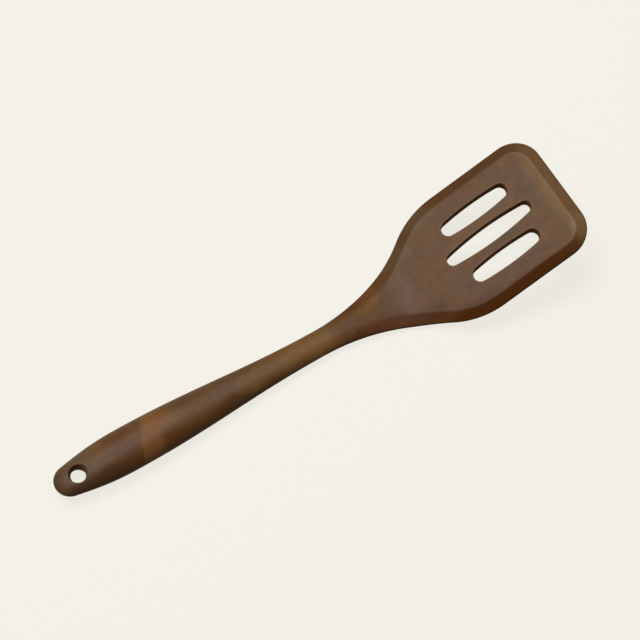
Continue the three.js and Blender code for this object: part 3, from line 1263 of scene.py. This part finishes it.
    def make_slot(self, bm: BMesh, slot: Slot) -> list[BMVert]:
        """Makes the upper half of a slot's wall, its lip and a flat band round it.

        Args:
            bm: The mesh to add to.
            slot: The slot.

        Returns:
            The ring of vertices round the flat band.
        """
        made = make_wall(bm, self.slot_row.wall(slot, self.side.panel_crown, self.flat_band))
        for verts in made:
            mark(bm, verts, Layer.LEAN, 1.0)
        mark(bm, made[-2], Layer.LIP, 1.0)
        return made[-1]

    def make_panel(self, bm: BMesh, row: list[BMVert], inner: list[BMVert]) -> None:
        """Fills the flat panel between the rim, the flare and the slots.

        Args:
            bm: The mesh to add to.
            row: The row of vertices where the flare meets the blade.
            inner: The vertices along the rim's inner edge.
        """
        heel = row[row.index(inner[-1]) : row.index(inner[0]) + 1]
        edges = [*edges_along(bm, heel, closed=False), *edges_along(bm, inner, closed=False)]
        for slot in self.slot_row.slots(self.plan.length):
            edges += edges_along(bm, self.make_slot(bm, slot), closed=True)
        up = (0.0, 0.0, 1.0)
        bmesh.ops.triangle_fill(bm, use_beauty=True, use_dissolve=False, edges=edges, normal=up)

    def bend(self, bm: BMesh) -> None:
        """Marks the rim, leans the slots to the mould's draw and bends the blade up at the heel.

        Args:
            bm: The flat form's mesh.
        """
        lean = bm.verts.layers.float[Layer.LEAN.value]
        rim = bm.verts.layers.float[Layer.RIM.value]
        draw = math.tan(self.side.blade_rise)
        for vert in bm.verts:
            vert[rim] = 0.0 if vert[lean] else self.rim_share(vert.co)
            vert.co.x += vert[lean] * vert.co.z * draw
            vert.co = self.side.bent(self.plan, vert.co)

    def move(self, bm: BMesh, step: Matrix) -> None:
        """Moves the whole form by one step, and keeps the step in its pose."""
        bmesh.ops.transform(bm, matrix=step, verts=bm.verts)
        self.pose = step @ self.pose

    def settle(self, bm: BMesh) -> None:
        """Lays the bent form down on its grip and its heel, with its box over the origin.

        Args:
            bm: The bent form's mesh.
        """
        grip = [vert for vert in bm.verts if vert.co.x < self.plan.grip_length]
        heel = [vert for vert in bm.verts if vert.co.x >= self.plan.grip_length]
        for _ in range(self.settle_turns):
            a = min((vert.co for vert in grip), key=lambda co: co.z)
            b = min((vert.co for vert in heel), key=lambda co: co.z)
            self.move(bm, Matrix.Rotation(math.atan2(b.z - a.z, b.x - a.x), 4, "Y"))
        xs = [vert.co.x for vert in bm.verts]
        lowest = min(vert.co.z for vert in bm.verts)
        self.move(bm, Matrix.Translation((-(min(xs) + max(xs)) / 2, 0.0, -lowest)))

    def build(self) -> bpy.types.Object:
        """Models the skin: its upper half, the mirror image of that, and the bend.

        Returns:
            The skin's object.
        """
        bm = bmesh.new()
        for layer in Layer:
            bm.verts.layers.float.new(layer.value)
        row = self.make_grip(bm, self.make_tail(bm))
        self.make_panel(bm, row, self.make_rim(bm, row))
        bmesh.ops.mirror(bm, geom=[*bm.verts, *bm.edges, *bm.faces], axis="Z", merge_dist=MERGE)
        bmesh.ops.remove_doubles(bm, verts=bm.verts, dist=MERGE)
        self.bend(bm)
        self.settle(bm)
        bmesh.ops.recalc_face_normals(bm, faces=bm.faces)
        for face in bm.faces:
            face.smooth = True
        return placed(bm, "skin_surface")

    def dress(self, skin: bpy.types.Object) -> None:
        """Gives the skin its marbled finish."""
        dressed(skin, Solid.SKIN, self.finish.material())


@dataclass(frozen=True)
class NylonCore:
    """The stiff core inside the skin, with its eye opened to make room for the skin's lining there."""

    packed_eye: float = 0.009
    lined_eye: float = 0.0128
    ring_reach: float = 0.0076
    finish: SatinNylon = SatinNylon()

    def opened(self, radius: float) -> float:
        """Returns where a radius of the eye's ring goes, so that its bore opens and its outside stays."""
        share = (self.ring_reach - radius) / (self.ring_reach - self.packed_eye / 2)
        return mix(self.ring_reach, self.lined_eye / 2, share)

    def build(self, packed: bpy.types.Object, skin: SiliconeSkin) -> bpy.types.Object:
        """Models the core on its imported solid.

        Args:
            packed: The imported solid's object.
            skin: The skin round the core, once it is built.

        Returns:
            The core's object.
        """
        bm = bmesh.new()
        bm.from_mesh(packed.data)
        bmesh.ops.remove_doubles(bm, verts=bm.verts, dist=MERGE)
        bmesh.ops.transform(bm, matrix=skin.pose.inverted(), verts=bm.verts)
        for vert in bm.verts:
            spoke = vert.co.xy - skin.eye.centre
            if spoke.length < self.ring_reach:
                vert.co.xy = skin.eye.centre + self.opened(spoke.length) * spoke.normalized()
        bmesh.ops.transform(bm, matrix=skin.pose, verts=bm.verts)
        return placed(bm, "core_moulding")

    def dress(self, core: bpy.types.Object) -> None:
        """Gives the core its satin finish."""
        dressed(core, Solid.CORE, self.finish.material())


@dataclass(frozen=True)
class Softbox:
    """A rectangular lamp that points at the object."""

    name: str
    place: tuple[float, float, float]
    width: float
    height: float
    power: float

    def build(self) -> None:
        """Adds the lamp."""
        lamp = bpy.data.lights.new(self.name, "AREA")
        lamp.shape = "RECTANGLE"
        lamp.size = self.width
        lamp.size_y = self.height
        lamp.energy = self.power
        made = bpy.data.objects.new(self.name, lamp)
        made.location = self.place
        made.rotation_euler = (-Vector(self.place)).to_track_quat("-Z", "Y").to_euler()
        bpy.context.scene.collection.objects.link(made)


@dataclass(frozen=True)
class Studio:
    """The pale floor, the light and the camera."""

    floor_reach: float = 6.0
    floor_colour: str = "#f3f1e8"
    floor_glow: float = 0.9
    floor_bounce: float = 0.25
    world_light: float = 0.04
    softbox: Softbox = Softbox("key_softbox", (-0.16, 0.66, 1.88), width=1.6, height=1.0, power=46.0)
    azimuth: float = math.radians(-31.2)
    elevation: float = math.radians(66.3)
    distance: float = 1.4
    aim: tuple[float, float, float] = (0.0123, 0.0113, 0.0071)
    lens_mm: float = 137.43
    sensor_mm: float = 36.0

    @staticmethod
    def shows(graph: Graph) -> Socket:
        """Tells rays that show the backdrop, straight or in a gloss, from those that light.

        Args:
            graph: The graph of the floor's material or of the world.

        Returns:
            1 for a ray that shows the backdrop and 0 for one that lights.
        """
        kinds = ("Is Camera Ray", "Is Glossy Ray", "Is Transmission Ray")
        camera, glossy, transmission = (graph.node("ShaderNodeLightPath", output=kind) for kind in kinds)
        return graph.rise(camera + glossy + transmission, 0.0, 1.0)

    def make_floor(self) -> None:
        """Adds the floor, which shows at its own colour with the object's soft shadow on it."""
        bm = bmesh.new()
        bmesh.ops.create_grid(bm, x_segments=1, y_segments=1, size=self.floor_reach)
        floor = placed(bm, "floor")
        paint = bpy.data.materials.new("pale_floor")
        graph = Graph(paint)
        pale = linear(self.floor_colour)
        dim = (self.floor_bounce, self.floor_bounce, self.floor_bounce, 1.0)
        matte = graph.node("ShaderNodeBsdfDiffuse", {}, {"Color": pale})
        glow = graph.node("ShaderNodeEmission", {}, {"Color": pale, "Strength": 1.0})
        shown = graph.node("ShaderNodeMixShader", {}, {0: self.floor_glow, 1: matte, 2: glow})
        dull = graph.node("ShaderNodeBsdfDiffuse", {}, {"Color": dim})
        surface = graph.node("ShaderNodeMixShader", {}, {0: self.shows(graph), 1: dull, 2: shown})
        graph.node("ShaderNodeOutputMaterial", {}, {"Surface": surface})
        floor.data.materials.append(paint)

    def make_world(self) -> None:
        """Adds dim even light all round, behind a backdrop of the floor's colour."""
        world = bpy.data.worlds.new("studio")
        bpy.context.scene.world = world
        graph = Graph(world)
        dim = (self.world_light, self.world_light, self.world_light, 1.0)
        colour = graph.blend(self.shows(graph), dim, linear(self.floor_colour))
        surface = graph.node("ShaderNodeBackground", {}, {"Color": colour, "Strength": 1.0})
        graph.node("ShaderNodeOutputWorld", {}, {"Surface": surface})

    def make_camera(self) -> None:
        """Adds the camera, and sets how its picture is shown."""
        lens = bpy.data.cameras.new("camera")
        lens.lens = self.lens_mm
        lens.sensor_width = self.sensor_mm
        camera = bpy.data.objects.new("camera", lens)
        flat = math.cos(self.elevation)
        east = math.sin(self.azimuth) * flat
        north = -math.cos(self.azimuth) * flat
        camera.location = self.distance * Vector((east, north, math.sin(self.elevation)))
        camera.rotation_euler = (Vector(self.aim) - camera.location).to_track_quat("-Z", "Y").to_euler()
        bpy.context.scene.collection.objects.link(camera)
        bpy.context.scene.camera = camera
        bpy.context.scene.view_settings.view_transform = "Standard"

    def build(self) -> None:
        """Adds everything round the object."""
        self.make_camera()
        self.make_floor()
        self.make_world()
        self.softbox.build()


def main() -> None:
    """Builds the studio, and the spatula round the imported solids."""
    logging.basicConfig(level=logging.INFO, format="%(message)s")
    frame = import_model()
    Studio().build()

    skin = SiliconeSkin()
    skin.dress(skin.build())
    core = NylonCore()
    core.dress(core.build(frame["nodes"][Solid.CORE.value], skin))


if __name__ == "__main__":
    main()
